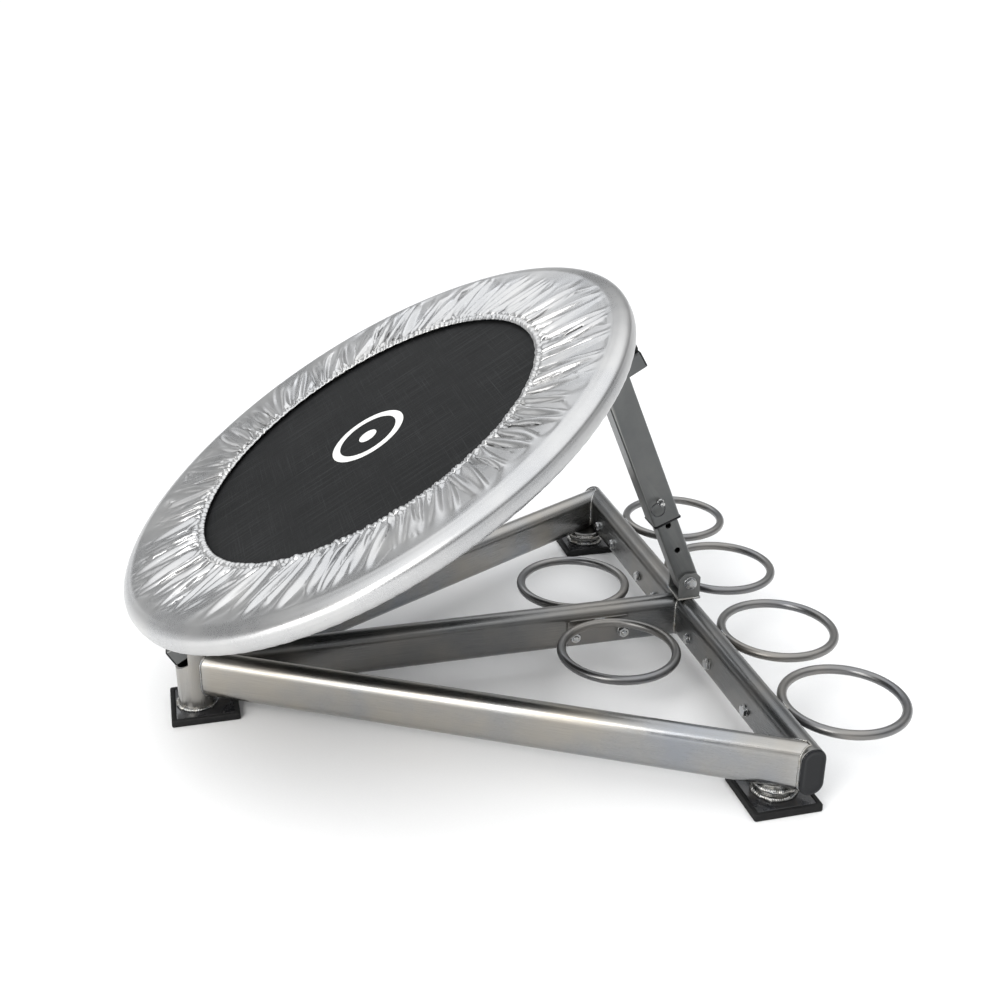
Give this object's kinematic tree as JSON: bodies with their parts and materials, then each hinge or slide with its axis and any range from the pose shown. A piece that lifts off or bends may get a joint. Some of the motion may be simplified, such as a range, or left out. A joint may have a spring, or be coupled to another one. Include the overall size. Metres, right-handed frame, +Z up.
{
  "type": "medicine ball rebounder",
  "caption": "Round tilted mini trampoline on a triangular flat-oval tube frame, with an adjustable strut, pull pin and steel ball rings.",
  "frame": {"origin": "on the floor, under the middle of the footprint", "axes": "+Z up, +X to the right across the crossbar, +Y from the front post to the crossbar and strut"},
  "size_m": [1.0374, 1.204, 0.6962],
  "materials": {
    "frame_steel": "clear-coated raw steel",
    "strut_steel": "satin dark grey",
    "zinc": "bright zinc plate",
    "spring_wire": "galvanised spring wire",
    "rubber": "matt black",
    "black_plastic": "gloss black",
    "silver_vinyl": "metallic silver vinyl, gathered on elastic",
    "mat_weave": "black woven polypropylene"
  },
  "bodies": {
    "root": {"bed_hinge_bolt": "zinc", "bed_hinge_nut": "zinc", "centre_rail": "frame_steel", "crossbar": "frame_steel", "front_foot_pad": "rubber", "front_foot_plate": "frame_steel", "front_post": "frame_steel", "left_ball_ring": "frame_steel", "left_crossbar_cap": "black_plastic", "left_foot_pad": "rubber", "left_foot_plate": "frame_steel", "left_foot_post": "frame_steel", "left_rail": "frame_steel", "rear_ball_ring_1": "frame_steel", "rear_ball_ring_2": "frame_steel", "rear_ball_ring_3": "frame_steel", "rear_ball_ring_4": "frame_steel", "rear_ring_bolt_1": "zinc", "rear_ring_bolt_2": "zinc", "rear_ring_bolt_3": "zinc", "rear_ring_bolt_4": "zinc", "rear_ring_bolt_5": "zinc", "rear_ring_bolt_6": "zinc", "rear_ring_bolt_7": "zinc", "rear_ring_bolt_8": "zinc", "right_ball_ring": "frame_steel", "right_crossbar_cap": "black_plastic", "right_foot_pad": "rubber", "right_foot_plate": "frame_steel", "right_foot_post": "frame_steel", "right_rail": "frame_steel", "side_ring_bolt_1": "zinc", "side_ring_bolt_2": "zinc", "strut_clevis": "strut_steel", "strut_clevis_bolt": "zinc", "strut_clevis_nut": "zinc"},
    "bed": {"bed_hoop": "frame_steel", "bed_spring_1": "spring_wire", "bed_spring_2": "spring_wire", "bed_spring_3": "spring_wire", "bed_spring_4": "spring_wire", "bed_spring_5": "spring_wire", "bed_spring_6": "spring_wire", "cover_pad": "silver_vinyl", "front_leg": "frame_steel", "front_leg_cup": "rubber", "front_spine_cap": "black_plastic", "rear_leg": "frame_steel", "rear_leg_cup": "rubber", "rear_spine_cap": "black_plastic", "spine": "strut_steel", "strut_top_bolt": "zinc", "strut_top_nut": "zinc"},
    "mat": {"mat": "mat_weave"},
    "strut_lower": {"strut_lower": "strut_steel"},
    "strut_upper": {"strut_upper": "strut_steel"},
    "lock_pin": {"lock_pin": "zinc"},
    "pin_ring": {"pin_ring": "zinc"}
  },
  "joints": [
    {"name": "bed_tilt", "type": "hinge", "parent": "root", "child": "bed", "pos_m": [0, -0.4946, 0.1347], "axis": [1, 0, 0], "range_deg": [-7.6, 7.7]},
    {"name": "strut_pivot", "type": "hinge", "parent": "root", "child": "strut_lower", "pos_m": [0, 0.3698, 0.1431], "axis": [1, 0, 0], "range_deg": [-2, 2]},
    {"name": "strut_slide", "type": "slide", "parent": "strut_lower", "child": "strut_upper", "axis": [0, -0.3775, 0.926], "range_m": [-0.108, 0.108]},
    {"name": "pin_pull", "type": "slide", "parent": "strut_upper", "child": "lock_pin", "axis": [1, 0, 0], "range_m": [0, 0.06]},
    {"name": "ring_swing", "type": "hinge", "parent": "lock_pin", "child": "pin_ring", "pos_m": [0.0345, 0.30241, 0.30839], "axis": [0, -0.866, 0.5], "range_deg": [0, 110]},
    {"name": "mat_bounce", "type": "slide", "parent": "bed", "child": "mat", "axis": [0, 0.4965, -0.868], "range_m": [0, 0.04], "stiffness_N_per_m": 6000, "springref_m": -0.01}
  ],
  "couplings": [
    {"joint": "strut_pivot", "follows": "bed_tilt", "ratio": 0.255},
    {"joint": "strut_slide", "follows": "bed_tilt", "m_per_rad": 0.802}
  ]
}
